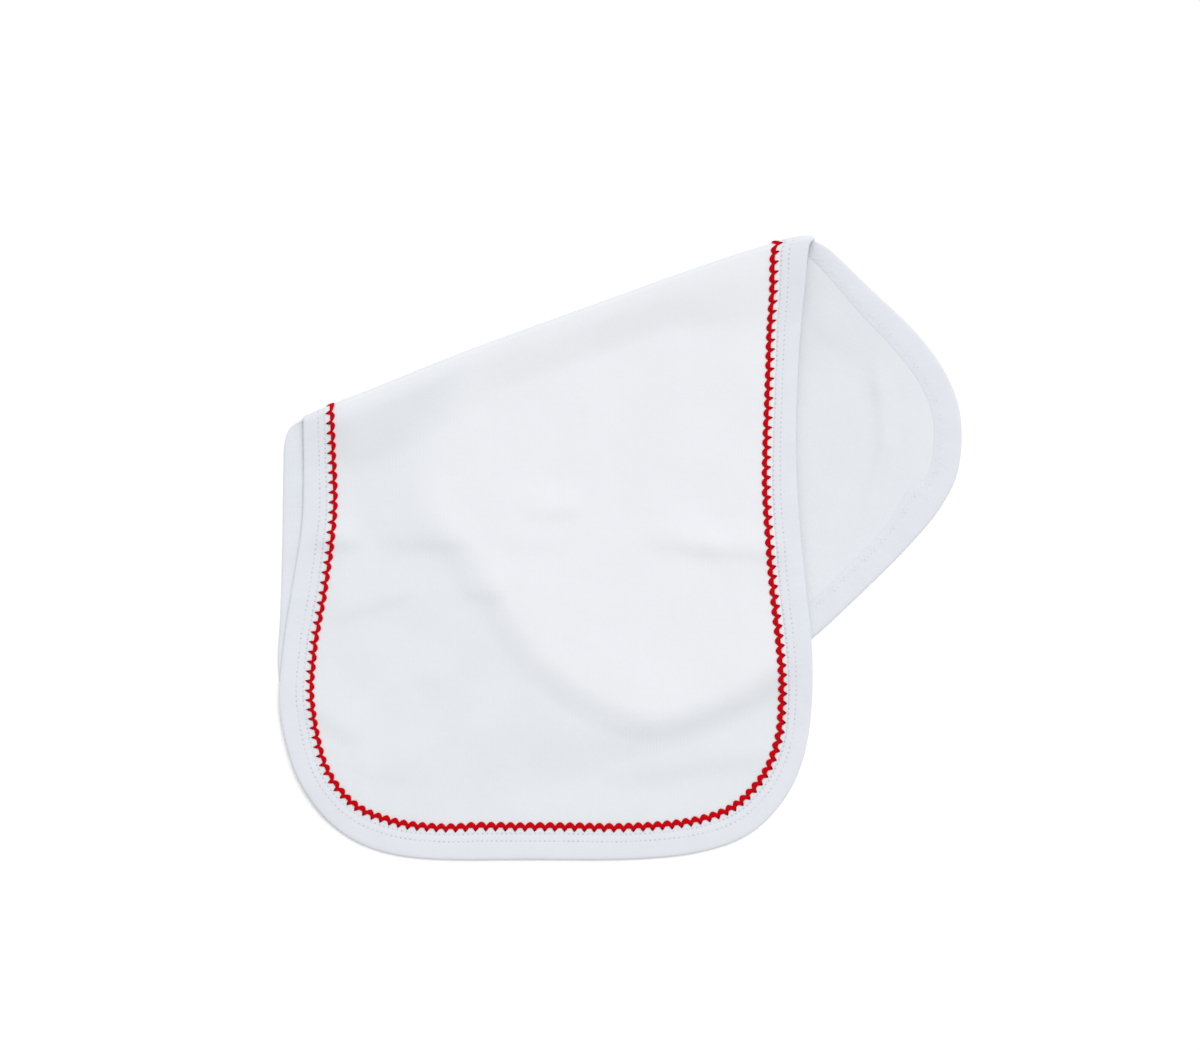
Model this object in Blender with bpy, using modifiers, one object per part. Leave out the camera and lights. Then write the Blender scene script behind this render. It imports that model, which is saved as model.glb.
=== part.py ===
"""Burp cloth: a contoured knit panel with a bound edge and a picot trim, folded once and laid flat.

Metres, +Z up, resting on z = 0, with the middle of the folded outline at the origin.
+X runs to the right and +Y towards the folded edge. The front flap lies face up on the back flap.
"""

import math

import bpy
import numpy as np

MM = 0.001

# Thicknesses, in metres
PANEL_THICK = 1.1 * MM
BINDING_THICK = 0.8 * MM
TRIM_THICK = 0.8 * MM
PIECE_GAP = 0.3 * MM

# The bound edge and the trim, measured in from the cut edge of the cloth
BINDING_WIDE = 13.3 * MM
NOSE_DEEP = 0.4 * MM
PANEL_INSET = 2.2 * MM
TRIM_ZONE = 19.0 * MM
PICOT_PITCH = 4.8 * MM
TRIM_POINTS = 3
PICOT_TIP = 13.8 * MM
PICOT_NECK = 15.1 * MM
BUMP_FOOT = 15.7 * MM
BUMP_TOP = 17.9 * MM

# The fold: its slope in the plan, a point on it, and how far it stands up
FOLD_SLOPE = math.radians(19.8)
FOLD_MIDDLE = (-30.5 * MM, 108.0 * MM)
FOLD_RISE = 6.5 * MM
FOLD_NOSE = 3.5 * MM
FOLD_SETTLE = (7.0 * MM, 55.0 * MM)
DROOP_DEEP = 4.8 * MM
DROOP_SPAN = (110.0 * MM, 134.0 * MM)

# How the upper layer lies over the edge of the lower one
LAP_RISE = 3.7 * MM
LAP_SAG = 1.6 * MM
LAP_SAG_FROM = 34.0 * MM
LAP_SAG_TO = 70.0 * MM
LAP_FALL = 20.0 * MM
LAP_REACH = 9.0 * MM

# Rows of the mesh
BEND_STEPS = 4
FOLD_ROWS = (7.0, 12.0, 18.0, 26.0, 36.0, 48.0)
FRONT_STATIONS = 70
BACK_STATIONS = 70
COLUMNS = (0.12, 0.26, 0.42, 0.6, 0.79)
FRONT_CENTRE = (-34.0 * MM, -68.0 * MM)
BACK_CENTRE = (-66.0 * MM, -24.0 * MM)
CENTRE_ROWS = 14

# Outline of the front flap, in millimetres, from the left end of the fold round to its right end
FRONT_EDGE = np.array(
    [
        (-151.0, 64.8),
        (-151.0, 37.4),
        (-151.9, 11.0),
        (-156.7, -18.7),
        (-160.8, -46.6),
        (-162.5, -73.0),
        (-160.1, -94.6),
        (-153.4, -114.7),
        (-139.0, -133.0),
        (-118.3, -144.5),
        (-90.5, -149.5),
        (-42.5, -149.8),
        (5.5, -149.5),
        (39.1, -145.9),
        (63.1, -136.6),
        (79.9, -119.0),
        (89.0, -97.9),
        (92.4, -73.0),
        (92.2, -46.6),
        (89.5, -15.4),
        (86.4, 18.2),
        (85.2, 51.8),
        (86.6, 90.2),
        (89.5, 126.2),
        (92.9, 148.3),
    ],
    dtype=[("x", float), ("y", float)],
)

# Outline of the back flap, in millimetres, from the right end of the fold round to its left end
BACK_EDGE = np.array(
    [
        (92.9, 148.3),
        (102.5, 141.6),
        (123.6, 121.4),
        (142.3, 103.2),
        (156.7, 84.0),
        (163.9, 63.4),
        (163.0, 38.4),
        (154.3, 19.7),
        (137.5, -0.5),
        (111.1, -26.9),
        (92.4, -44.2),
        (68.9, -64.3),
        (46.3, -79.2),
        (23.8, -85.9),
        (-1.7, -84.5),
        (-28.1, -81.6),
        (-56.9, -80.6),
        (-80.9, -85.0),
        (-102.5, -93.6),
        (-124.1, -103.7),
        (-142.3, -104.6),
        (-156.7, -94.6),
        (-163.0, -75.4),
        (-164.2, -56.2),
        (-162.7, -29.8),
        (-161.3, 3.8),
        (-160.6, 37.4),
        (-159.6, 52.8),
        (-156.7, 59.5),
        (-151.0, 64.8),
    ],
    dtype=[("x", float), ("y", float)],
)

# Soft creases: which flap, two ends in the plan, height and half width, all in millimetres
CREASES = np.array(
    [
        ("front", -132.0, 1.0, -78.0, -1.0, 0.7, 6.0),
        ("front", 22.0, 0.0, 70.0, -2.0, 0.7, 6.0),
        ("front", -134.0, -37.0, -108.0, -24.0, 0.8, 6.0),
        ("back", 122.0, 104.0, 123.5, 40.0, 0.9, 7.0),
        ("back", 123.5, 40.0, 117.0, 16.0, 0.9, 7.0),
    ],
    dtype=[
        ("flap", "U5"),
        ("x0", float),
        ("y0", float),
        ("x1", float),
        ("y1", float),
        ("high", float),
        ("wide", float),
    ],
)

HALF_PANEL = PANEL_THICK / 2
RAISE = BINDING_THICK + PIECE_GAP
BINDING_OFF = HALF_PANEL + PIECE_GAP + BINDING_THICK / 2
TRIM_OFF = HALF_PANEL + PIECE_GAP + TRIM_THICK / 2
ALONG_FOLD = np.array([math.cos(FOLD_SLOPE), math.sin(FOLD_SLOPE)])
INTO_CLOTH = np.array([math.sin(FOLD_SLOPE), -math.cos(FOLD_SLOPE)])


def smooth(low, high, value):
    """0 up to low, 1 from high, and a soft S between them."""
    t = np.clip((value - low) / (high - low), 0, 1)
    return t * t * (3 - 2 * t)


def droop(along):
    """How far the fold turns down towards its right-hand end."""
    return DROOP_DEEP * smooth(*DROOP_SPAN, along)


def to_fold(plan):
    """Plan points as (distance along the fold, distance in from it)."""
    out = np.stack([(plan - FOLD_MIDDLE) @ ALONG_FOLD, (plan - FOLD_MIDDLE) @ INTO_CLOTH], -1)
    out[..., 1] -= droop(out[..., 0])
    return out


def to_plan(fold):
    """The inverse of to_fold."""
    deep = fold[..., 1] + droop(fold[..., 0])
    return FOLD_MIDDLE + fold[..., :1] * ALONG_FOLD + deep[..., None] * INTO_CLOTH


def curve_through(table, steps=24):
    """A smooth open curve through the rows of a table: Catmull-Rom spans of equal steps."""
    points = np.stack([table["x"], table["y"]], -1) * MM
    ends = np.vstack([2 * points[0] - points[1], points, 2 * points[-1] - points[-2]])
    t = (np.arange(steps) / steps)[:, None]
    spans = []
    for a, b, c, d in zip(ends, ends[1:], ends[2:], ends[3:]):
        spans.append(
            b
            + t * (c - a) / 2
            + t**2 * (2 * a - 5 * b + 4 * c - d) / 2
            + t**3 * (3 * b - a - 3 * c + d) / 2
        )
    return np.vstack(spans + [points[-1:]])


def fold_levels():
    """Distances in from the fold of the first rows: round the bend, then across the soft part."""
    turn = np.arange(1, BEND_STEPS + 1) * math.pi / 2 / BEND_STEPS
    return np.concatenate([FOLD_NOSE * (1 - np.cos(turn)), np.array(FOLD_ROWS) * MM])


def stations_on(curve, count):
    """Stations along a flap's edge, in fold coordinates, and the direction in from each.

    The first and last rows lie at the fold levels. Those between them are equally spaced.
    Near the fold the inward direction runs along the fold, and further off it is square to the edge.
    """
    levels = fold_levels()
    length = np.concatenate([[0], np.cumsum(np.linalg.norm(np.diff(curve, axis=0), axis=1))])
    half = len(curve) // 4
    first = np.interp(levels, curve[:half, 1], length[:half])
    last = np.interp(levels, curve[:-half:-1, 1], length[:-half:-1])[::-1]
    middle = np.linspace(first[-1], last[0], count + 2)[1:-1]
    at = np.concatenate([[0], first, middle, last, [length[-1]]])
    place = np.stack([np.interp(at, length, curve[:, k]) for k in (0, 1)], -1)
    ahead = np.stack([np.interp(at + MM, length, curve[:, k]) for k in (0, 1)], -1)
    behind = np.stack([np.interp(at - MM, length, curve[:, k]) for k in (0, 1)], -1)
    tangent = ahead - behind
    tangent /= np.linalg.norm(tangent, axis=1)[:, None]
    middle_place = curve.mean(axis=0)
    normal = np.stack([-tangent[:, 1], tangent[:, 0]], -1)
    if ((middle_place - place) * normal).sum() < 0:
        normal = -normal
    rows = len(levels) + 1
    index = np.arange(len(at))
    from_end = np.minimum(index, len(at) - 1 - index)
    near = 1 - smooth(rows - 3, rows + 5, from_end)
    side = np.where(index < len(at) / 2, 1.0, -1.0) * np.sign(curve[-1, 0] - curve[0, 0])
    row_way = np.stack([side / math.cos(FOLD_SLOPE), np.zeros(len(at))], -1)
    inward = (1 - near[:, None]) * normal + near[:, None] * row_way
    return place, inward, from_end


def centre_line(centre):
    """Points down the middle of a flap, in fold coordinates, one for each row."""
    levels = np.concatenate([[0], fold_levels()])
    target = to_fold(np.array(centre))
    share = levels / target[1]
    near = np.stack([share * target[0], levels], -1)
    t = (np.arange(1, CENTRE_ROWS + 1) / CENTRE_ROWS)[:, None]
    return np.vstack([near, near[-1] + t * (target - near[-1])])


def distance_to(points, line, closed_by_fold=True):
    """Distance from plan points to a polyline, positive inside the outline that it makes."""
    a = line[:-1]
    span = line[1:] - a
    rel = points[:, None] - a[None]
    t = np.clip((rel * span).sum(-1) / (span**2).sum(-1), 0, 1)
    near = np.linalg.norm(rel - t[..., None] * span, axis=-1).min(axis=1)
    ring = np.vstack([line, line[:1]]) if closed_by_fold else line
    x0, y0 = ring[:-1].T
    x1, y1 = ring[1:].T
    px = points[:, :1]
    py = points[:, 1:]
    crosses = (y0 > py) != (y1 > py)
    reach = x0 + (py - y0) / np.where(y1 == y0, 1, y1 - y0) * (x1 - x0)
    inside = (crosses & (px < reach)).sum(axis=1) % 2 == 1
    return np.where(inside, near, -near)


def crease_height(plan, flap):
    """Height of the soft creases of one flap: a bell across each straight line."""
    high = np.zeros(len(plan))
    for row in CREASES[CREASES["flap"] == flap]:
        line = np.array([[row["x0"], row["y0"]], [row["x1"], row["y1"]]]) * MM
        away = np.abs(distance_to(plan, line, closed_by_fold=False))
        high += row["high"] * MM * np.exp(-((away / (row["wide"] * MM)) ** 2))
    return high


def lap_height(plan, back_curve):
    """Height that the lower layer and its bound edge need under the upper layer."""
    inside = distance_to(plan, to_plan(back_curve)[::6])
    up = smooth(-LAP_REACH - LAP_FALL, -LAP_REACH, inside)
    sag = smooth(LAP_SAG_FROM, LAP_SAG_TO, inside)
    return LAP_RISE * up - LAP_SAG * sag


def middle_height(fold, raised, turn, flap, back_curve):
    """Height of the middle of the sheet.

    raised is 1 at the bound edge and 0 inside it. turn is the sine of the angle round the bend.
    """
    plan = to_plan(fold)
    low = HALF_PANEL + RAISE * raised
    high = low + lap_height(plan, back_curve)
    standing = 1 - smooth(*FOLD_SETTLE, fold[:, 1])
    high = high + (low + FOLD_RISE - high) * standing
    if flap == "front":
        settled = high + crease_height(plan, flap) * (1 - raised)
        level = (low + high) / 2 + (high - low) / 2 * turn
        return np.where(turn < 1, level, settled)
    settled = low + crease_height(plan, flap) * (1 - raised)
    level = (low + high) / 2 - (high - low) / 2 * turn
    return np.where(turn < 1, level, settled)


def flap_grid(curve, count, centre, flap, back_curve):
    """Station grids of one flap: the edge band, the interior and the centre line."""
    place, inward, from_end = stations_on(curve, count)
    spine = centre_line(centre)
    to_spine = np.minimum(from_end, len(spine) - 1)
    turn = np.where(from_end < BEND_STEPS, np.sin(from_end * math.pi / 2 / BEND_STEPS), 1.0)
    spine_row = np.arange(len(spine))
    spine_turn = np.where(spine_row < BEND_STEPS, np.sin(spine_row * math.pi / 2 / BEND_STEPS), 1.0)

    def lifted(fold, raised, turned):
        high = middle_height(fold, np.full(len(fold), raised), turned, flap, back_curve)
        return np.column_stack([to_plan(fold), high])

    edge = lifted(place, 1.0, turn)
    bound = lifted(place + BINDING_WIDE * inward, 1.0, turn)
    inner_fold = place + TRIM_ZONE * inward
    inner = lifted(inner_fold, 1.0, turn)
    inside = [
        lifted(inner_fold + share * (spine[to_spine] - inner_fold), 0.0, turn)
        for share in COLUMNS
    ]
    return {
        "edge": edge,
        "bound": bound,
        "inner": inner,
        **{share: ring for share, ring in zip(COLUMNS, inside)},
        "spine": lifted(spine, 0.0, spine_turn),
        "to_spine": to_spine,
    }


def ring_of(front, back, key):
    """One closed ring of points: round the front flap, then round the back flap."""
    return np.vstack([front[key], back[key][1:-1]])


def on_triangles(corner, along, across):
    """A point of a quad that is split from its first corner to the one opposite.

    corner gives the quad's corners by (step along, step across). along and across run from 0 to 1.
    """
    far = corner(1, 1)
    first = corner(0, 0)
    by_edge = first + along * (corner(1, 0) - first) + across * (far - corner(1, 0))
    by_side = first + across * (corner(0, 1) - first) + along * (far - corner(0, 1))
    return np.where(along >= across, by_edge, by_side)


def band_point(bands, station, inset):
    """A point of the middle of the sheet at a station, this far in from the edge."""
    low = np.floor(station).astype(int)
    along = (station - low)[:, None]
    count = len(bands["edge"])

    def quad(outer, inner):
        def corner(step, across):
            return (inner if across else outer)[(low + step) % count]

        return corner

    over_binding = on_triangles(
        quad(bands["edge"], bands["bound"]), along, (inset / BINDING_WIDE)[:, None]
    )
    over_trim = on_triangles(
        quad(bands["bound"], bands["inner"]),
        along,
        ((inset - BINDING_WIDE) / (TRIM_ZONE - BINDING_WIDE))[:, None],
    )
    return np.where(inset[:, None] <= BINDING_WIDE, over_binding, over_trim)


def band_normal(bands, station):
    """The outward side of the sheet along its edge: up on the front flap and down on the back."""
    count = len(bands["edge"])
    low = np.floor(station).astype(int)
    part = (station - low)[:, None]
    across = bands["inner"] - bands["edge"]
    along = np.roll(bands["bound"], -1, axis=0) - bands["bound"]
    along /= np.linalg.norm(along, axis=1)[:, None]
    along = along + np.roll(along, 1, axis=0)
    normal = np.cross(along, across)
    normal /= np.linalg.norm(normal, axis=1)[:, None]
    mixed = normal[low % count] * (1 - part) + normal[(low + 1) % count] * part
    return mixed / np.linalg.norm(mixed, axis=1)[:, None]


def new_object(name, points, faces, thick, material, collection):
    """A surface given its thickness by Solidify, half to each side."""
    mesh = bpy.data.meshes.new(name)
    mesh.from_pydata([tuple(p) for p in points], [], faces)
    mesh.validate()
    mesh.materials.append(material)
    mesh.shade_smooth()
    mesh.set_sharp_from_angle(angle=math.radians(40))
    obj = bpy.data.objects.new(name, mesh)
    collection.objects.link(obj)
    solid = obj.modifiers.new("Thickness", "SOLIDIFY")
    solid.thickness = thick
    solid.offset = 0
    solid.use_even_offset = True
    solid.use_rim = True
    return obj


def new_material(name, color, roughness):
    """A plain cloth material."""
    material = bpy.data.materials.new(name)
    material.use_nodes = True
    shader = material.node_tree.nodes["Principled BSDF"]
    shader.inputs["Base Color"].default_value = (*color, 1)
    shader.inputs["Roughness"].default_value = roughness
    shader.inputs["Metallic"].default_value = 0.0
    material.diffuse_color = (*color, 1)
    return material


def split_quads(a, b, c, d, shift):
    """Each quad as two triangles that share the edge from a to c, so that layers stay parallel."""
    halves = np.concatenate([np.stack([a, b, c], -1), np.stack([a, c, d], -1)]) + shift
    return [tuple(row) for row in halves.tolist()]


def add_cloth(rings, spines, material, collection):
    """The knit panel: one sheet of quads from its edge in to the centre line of each flap."""
    count = len(rings[0])
    points = np.vstack([*rings, spines["points"]])
    around = np.arange(count)
    after = (around + 1) % count
    faces = []
    for k in range(len(rings) - 1):
        faces.extend(split_quads(around, after, after + count, around + count, k * count))
    last = (len(rings) - 1) * count
    to = len(rings) * count + spines["row"]
    for i, j in zip(around, after):
        ends = (to[j],) if to[i] == to[j] else (to[j], to[i])
        faces.append((int(last + i), int(last + j), *map(int, ends)))
    return new_object("cloth", points, faces, PANEL_THICK, material, collection)


def joined_spines(front, back):
    """The two centre lines as one list of points, and the point that each station of the ring leads to."""
    shift = len(front["spine"]) - 1
    back_row = np.where(back["to_spine"] == 0, 0, back["to_spine"] + shift)
    return {
        "points": np.vstack([front["spine"], back["spine"][1:]]),
        "row": np.concatenate([front["to_spine"], back_row[1:-1]]),
    }


def add_binding(bands, material, collection):
    """The binding strip, folded round the cut edge and as wide on both sides."""
    count = len(bands["edge"])
    around = np.arange(count, dtype=float)
    normal = band_normal(bands, around)
    section = [
        (BINDING_WIDE, BINDING_OFF),
        (NOSE_DEEP + 1.6 * MM, BINDING_OFF),
        (NOSE_DEEP + 0.4 * MM, 0.72 * BINDING_OFF),
        (NOSE_DEEP, 0.0),
        (NOSE_DEEP + 0.4 * MM, -0.72 * BINDING_OFF),
        (NOSE_DEEP + 1.6 * MM, -BINDING_OFF),
        (BINDING_WIDE, -BINDING_OFF),
    ]
    points = np.vstack(
        [band_point(bands, around, np.full(count, inset)) + off * normal for inset, off in section]
    )
    stations = np.arange(count)
    after = (stations + 1) % count
    faces = []
    for k in range(len(section) - 1):
        shift = k * count
        if k < len(section) / 2:
            faces.extend(split_quads(stations + count, after + count, after, stations, shift))
        else:
            faces.extend(split_quads(stations, stations + count, after + count, after, shift))
    return new_object("binding", points, faces, BINDING_THICK, material, collection)


def add_trim(bands, material, collection):
    """The picot trim: a narrow band of scallops, pointed towards the binding."""
    count = len(bands["edge"])
    path = band_point(bands, np.arange(count, dtype=float), np.full(count, BUMP_FOOT))
    steps = np.linalg.norm(np.roll(path, -1, axis=0) - path, axis=1)
    length = np.concatenate([[0], np.cumsum(steps)])
    picots = round(length[-1] / PICOT_PITCH)
    where = np.arange(picots * TRIM_POINTS) * length[-1] / (picots * TRIM_POINTS)
    station = np.interp(where, length, np.arange(count + 1))
    tip = np.arange(len(station)) % TRIM_POINTS == 0
    outer = band_point(bands, station, np.where(tip, PICOT_TIP, BUMP_FOOT))
    inner = band_point(bands, station, np.where(tip, PICOT_NECK, BUMP_TOP))
    off = TRIM_OFF * band_normal(bands, station)
    points = np.vstack([outer + off, inner + off])
    total = len(station)
    faces = [(i, (i + 1) % total, total + (i + 1) % total, total + i) for i in range(total)]
    return new_object("picot_trim", points, faces, TRIM_THICK, material, collection)


def main():
    for obj in list(bpy.data.objects):
        bpy.data.objects.remove(obj)
    collection = bpy.data.collections.new("burp_cloth")
    bpy.context.scene.collection.children.link(collection)
    white = new_material("white_knit", (0.80, 0.82, 0.86), 0.9)
    bound = new_material("white_binding", (0.76, 0.79, 0.85), 0.85)
    red = new_material("red_trim", (0.55, 0.005, 0.01), 0.7)
    front_curve = to_fold(curve_through(FRONT_EDGE))
    back_curve = to_fold(curve_through(BACK_EDGE))
    front_curve[[0, -1], 1] = 0.0
    back_curve[[0, -1], 1] = 0.0
    back_curve[0] = front_curve[-1]
    back_curve[-1] = front_curve[0]
    front = flap_grid(front_curve, FRONT_STATIONS, FRONT_CENTRE, "front", back_curve)
    back = flap_grid(back_curve, BACK_STATIONS, BACK_CENTRE, "back", back_curve)
    bands = {key: ring_of(front, back, key) for key in ("edge", "bound", "inner")}
    count = len(bands["edge"])
    panel_edge = band_point(bands, np.arange(count, dtype=float), np.full(count, PANEL_INSET))
    inside = [ring_of(front, back, share) for share in COLUMNS]
    rings = [panel_edge, bands["bound"], bands["inner"], *inside]
    add_cloth(rings, joined_spines(front, back), white, collection)
    add_binding(bands, bound, collection)
    add_trim(bands, red, collection)


main()
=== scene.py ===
"""Burp cloth, folded once and laid flat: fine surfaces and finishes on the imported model.

Laid out as an add-on and run as a script. Metres, +Z up, the same frame as the solids.
"""

import functools
import math

import bpy
import numpy as np
from bpy.props import FloatProperty, FloatVectorProperty, PointerProperty
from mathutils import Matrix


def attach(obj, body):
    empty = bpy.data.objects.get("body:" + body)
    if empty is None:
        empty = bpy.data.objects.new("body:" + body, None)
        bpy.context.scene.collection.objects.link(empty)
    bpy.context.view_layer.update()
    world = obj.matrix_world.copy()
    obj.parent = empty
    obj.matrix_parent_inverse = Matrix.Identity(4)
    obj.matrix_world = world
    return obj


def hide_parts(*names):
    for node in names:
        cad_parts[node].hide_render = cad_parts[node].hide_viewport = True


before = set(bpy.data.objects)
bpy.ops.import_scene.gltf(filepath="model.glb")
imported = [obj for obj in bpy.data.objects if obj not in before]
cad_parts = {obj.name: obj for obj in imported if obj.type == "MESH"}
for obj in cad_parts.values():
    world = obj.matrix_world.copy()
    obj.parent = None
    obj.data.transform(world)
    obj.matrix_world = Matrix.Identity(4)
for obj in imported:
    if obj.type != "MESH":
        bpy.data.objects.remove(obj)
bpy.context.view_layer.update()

bl_info = {
    "name": "Folded burp cloth",
    "version": (1, 0, 0),
    "blender": (4, 5, 0),
    "location": "3D View > Sidebar > Burp cloth",
    "description": "Knit panel, bound edge, picot trim and sewing of a burp cloth folded once",
    "category": "Object",
}

MM = 0.001

# Thicknesses of the cloth as it shows, and the gap between its layers
PANEL_THICK = 1.0 * MM
BINDING_THICK = 0.5 * MM
PIECE_GAP = 0.05 * MM
HALF_PANEL = PANEL_THICK / 2
RAISE = BINDING_THICK + PIECE_GAP

# The bound edge, the trim and the needle rows, measured in from the cut edge
BINDING_WIDE = 13.3 * MM
PANEL_INSET = 2.2 * MM
TRIM_ZONE = 19.0 * MM
EDGE_FADE = 44.0 * MM
TABLE_GAP = 0.01 * MM
NEEDLE_ROWS = (12.4 * MM, 8.9 * MM)
ROW_TOPS = (0.74 * MM, 0.92 * MM)

# The binding's section in millimetres, as inset and height off the middle of the panel: its top on
# the right side, its top on the wrong side, and the inner face next to the panel
BINDING_RIGHT = np.array([
    (12.9, 0.6), (12.85, 0.66), (12.65, 0.71), (12.4, 0.76), (12.1, 0.81), (11.6, 0.88),
    (10.65, 0.97), (9.8, 1.01), (9.3, 0.99), (8.9, 0.97), (8.5, 0.99), (7.9, 1.03),
    (6.6, 1.05), (5.2, 1.05), (3.8, 1.04), (2.6, 1.02), (1.7, 0.98), (1.0, 0.88),
    (0.5, 0.72), (0.15, 0.45), (0.0, 0.15),
])
BINDING_WRONG = np.array([
    (0.0, 0.15), (0.15, 0.45), (0.5, 0.72), (1.0, 0.88), (1.7, 0.98), (2.6, 1.02), (3.8, 1.04),
    (5.2, 1.05), (6.6, 1.04), (7.9, 1.01), (8.5, 0.99), (8.9, 0.97), (9.3, 0.96), (9.8, 0.93),
    (10.65, 0.87), (11.6, 0.79), (12.4, 0.7), (12.9, 0.63), (13.2, 0.58), (13.27, 0.57),
    (13.3, 0.56),
])
BINDING_FACE = np.array([
    (0.6, 0.0), (0.75, 0.3), (1.3, 0.5), (2.2, 0.54), (5.0, 0.55), (8.9, 0.55), (12.4, 0.55),
])

# The fold: its slope in the plan, a point on it, and how far it stands up
FOLD_SLOPE = math.radians(19.8)
FOLD_MIDDLE = (-30.5 * MM, 108.0 * MM)
FOLD_RISE = 7.6 * MM
FOLD_RISE_LEFT = 3.7 * MM
FOLD_NOSE = 2.6 * MM
FOLD_CREST = 4.6 * MM
FOLD_SETTLE = 25.0 * MM
FOLD_SETTLE_LEFT = 12.0 * MM
FOLD_SETTLE_RIGHT = 17.0 * MM
FOLD_SETTLE_END = 10.0 * MM
FOLD_LINE = np.array([
    (-142.0, 1.9), (-137.0, 2.0), (-133.5, 2.1), (-129.0, 2.2), (-123.0, 2.1), (-118.0, 1.5),
    (-106.0, 0.7), (-94.0, 0.5), (-70.0, -0.5), (-46.0, -1.3), (-22.0, -1.5), (10.0, -1.5),
    (60.0, -1.6), (92.0, -1.1), (108.0, -0.3), (118.0, 0.6), (126.0, 1.9), (131.0, 3.9),
    (134.0, 5.2), (138.0, 7.6), (142.0, 10.0),
])
FOLD_LINE_SOFT = 2.5 * MM

# How the upper layer lies over the edge of the lower one
LAP_RISE = 2.3 * MM
LAP_REACH = 1.0 * MM
LAP_FALL_RIGHT = 17.0 * MM
LAP_FALL_LEFT = 45.0 * MM
LAP_FALL_SPAN = (-60.0 * MM, 20.0 * MM)
LAP_EASE_SPAN = (70.0 * MM, 90.0 * MM)
LAP_SAG = 0.9 * MM
LAP_SAG_SPAN = (3.0 * MM, 42.0 * MM)

# Fineness of the grid
BEND_STEPS = 9
SOFT_ROWS = np.arange(4.5, 47.1, 2.5) * MM
FRONT_STATIONS = 220
BACK_STATIONS = 220
CENTRE_ROWS = 60
BAND_INSETS = np.array([0.0, 1.1, 2.2, 4.0, 6.0, 8.0, 10.0, 11.8, 13.3, 15.2, 17.1, 19.0]) * MM
SHARES = np.linspace(0, 1, 76)[1:-1] ** 1.2
FRONT_CENTRE = (-34.0 * MM, -68.0 * MM)
BACK_CENTRE = (-66.0 * MM, -24.0 * MM)
TURN_IN_SPAN = (26.0 * MM, 111.0 * MM)

# Outline of the front flap in millimetres, from the left end of the fold round to its right end
FRONT_EDGE = np.array([
    (-151.0, 62.1), (-151.0, 37.4), (-151.9, 11.0), (-156.5, -18.7), (-160.7, -46.6),
    (-162.7, -73.0), (-159.2, -94.3), (-151.9, -114.0), (-137.9, -132.3), (-118.2, -144.3),
    (-90.5, -149.3), (-42.5, -149.6), (5.5, -149.4), (39.1, -145.9), (63.4, -136.8),
    (80.4, -119.3), (89.5, -98.1), (92.9, -73.0), (92.5, -46.6), (89.5, -15.4),
    (86.4, 18.2), (85.2, 51.8), (86.4, 90.2), (89.3, 126.2), (90.1, 137.5), (90.7, 142.5),
    (91.6, 145.9), (94.0, 147.6),
])

# Outline of the back flap in millimetres, from the right end of the fold round to its left end
BACK_EDGE = np.array([
    (94.0, 147.6), (98.6, 145.4), (103.2, 141.9), (124.1, 121.8), (142.9, 103.6), (157.2, 84.1),
    (164.3, 63.3), (163.3, 38.2), (154.4, 19.4), (137.5, -0.7), (110.9, -26.9),
    (92.0, -43.8), (70.0, -58.5), (46.5, -71.8), (23.8, -80.0), (-1.7, -82.5),
    (-28.1, -81.6), (-56.9, -80.6), (-80.9, -85.0), (-102.5, -93.6), (-124.1, -103.7),
    (-141.5, -104.6), (-154.0, -94.6), (-160.2, -79.0), (-163.5, -56.2), (-162.2, -29.8),
    (-161.3, 3.8), (-160.8, 37.4), (-160.3, 50.5), (-158.2, 57.2), (-155.0, 59.8),
    (-151.0, 62.1),
])

# Edge of the lower layer as it shows through the front flap, from the right end of the fold round
# to its left end, and how soft that edge is at its lowest point and at the fold
SHOWN_EDGE = np.array([
    (110.0, 178.0), (145.0, 118.0), (165.0, 60.0), (137.5, -0.5), (111.1, -26.9), (92.4, -44.2),
    (70.0, -58.5), (55.5, -67.0), (37.5, -74.5), (15.0, -79.3), (-7.0, -73.0), (-25.5, -61.0),
    (-39.0, -49.0), (-50.5, -32.5), (-57.0, -21.0), (-66.0, -6.0), (-79.0, 9.0), (-91.0, 28.0),
    (-85.0, 47.0), (-75.0, 68.0), (-66.0, 100.0), (-50.0, 165.0),
])
TABLE_SHARE = 0.3
# Band off the fold on the back flap that is darkened as painted shade from the fold: its start and its
# end
FOLD_SHADE_START = (8.0 * MM, 25.0 * MM)
FOLD_SHADE_END = (45.0 * MM, 85.0 * MM)
STEP_HIGH = 2.5 * MM
STEP_SOFT = (15.0 * MM, 22.0 * MM)
STEP_RISE = (-40.0 * MM, 30.0 * MM)

# Soft creases: two ends in the plan, height and half width, in millimetres
FRONT_CREASES = np.array([
    (-154.0, 4.0, -124.0, 3.5, 1.8, 3.6),
    (-112.0, 5.5, -70.0, 4.0, 1.2, 4.5),
    (-56.0, 3.5, -26.0, 3.5, 0.5, 4.5),
    (14.0, 4.5, 50.0, 1.5, 1.0, 4.0),
    (30.0, 0.0, 92.0, -1.0, 1.2, 4.0),
    (-46.0, 18.5, -18.0, 19.5, 0.9, 4.5),
    (-78.0, -19.5, -52.0, -20.5, 1.0, 4.5),
    (-140.0, -32.0, -96.0, -19.0, 1.0, 4.5),
    (-2.0, -108.0, 84.0, -94.0, 1.1, 7.0),
    (-156.0, -70.0, -122.0, -92.0, 1.1, 5.0),
    (-128.0, -102.0, -96.0, -108.0, 0.6, 6.0),
    (-98.0, -58.0, -82.0, -66.0, 0.5, 5.0),
])
BACK_CREASES = np.array([
    (101.0, 128.0, 98.0, 98.0, 0.8, 5.0),
    (126.0, 108.0, 124.6, 72.0, 0.9, 3.0),
    (124.6, 88.0, 129.0, 42.0, 1.1, 3.0),
    (129.0, 54.0, 117.0, 4.0, 1.3, 3.0),
    (104.0, 118.0, 114.0, 104.0, 0.5, 4.0),
])

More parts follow.
